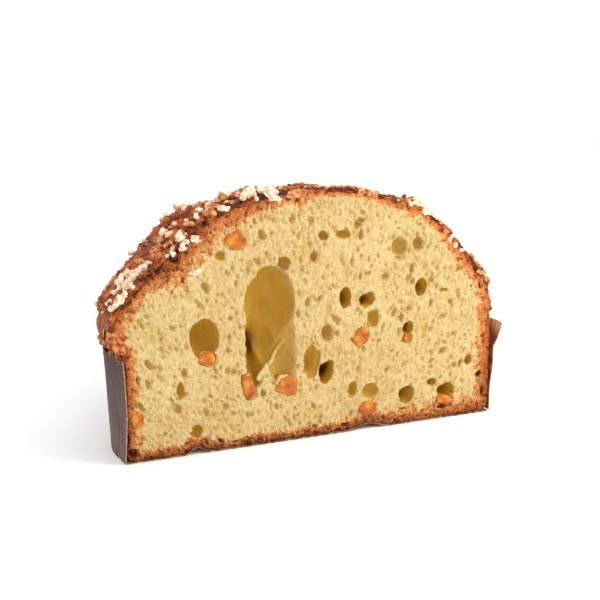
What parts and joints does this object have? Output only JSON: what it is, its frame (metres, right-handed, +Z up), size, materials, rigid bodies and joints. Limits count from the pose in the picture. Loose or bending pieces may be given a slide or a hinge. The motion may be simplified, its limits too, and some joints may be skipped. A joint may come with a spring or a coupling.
{
  "type": "colomba cake",
  "caption": "Half of a dove-shaped Easter sweet bread cut across its wings: airy yellow crumb, candied peel, almond glaze with pearl sugar, dark paper case.",
  "frame": {"origin": "middle of the footprint's bounding box, on the table", "axes": "+X across the cut face from its left to its right, +Y from the cut face into the cake towards the tail, +Z up"},
  "size_m": [0.2174, 0.1528, 0.1271],
  "materials": {
    "crumb": "open, fibrous yellow crumb with an orange-brown baked crust",
    "glaze": "rough baked almond glaze, brown, with white pearl sugar",
    "peel": "glossy, translucent candied orange peel",
    "case_paper": "dark brown pleated baking paper",
    "base_paper": "brown baking paper stained by the crust"
  },
  "bodies": {
    "root": {"cake": "crumb", "glaze": "glaze", "paper_wall": "case_paper", "paper_base": "base_paper", "candied_peel_1": "peel", "candied_peel_2": "peel", "candied_peel_3": "peel", "candied_peel_4": "peel", "candied_peel_5": "peel", "candied_peel_6": "peel", "candied_peel_7": "peel", "candied_peel_8": "peel", "candied_peel_9": "peel"}
  },
  "joints": []
}
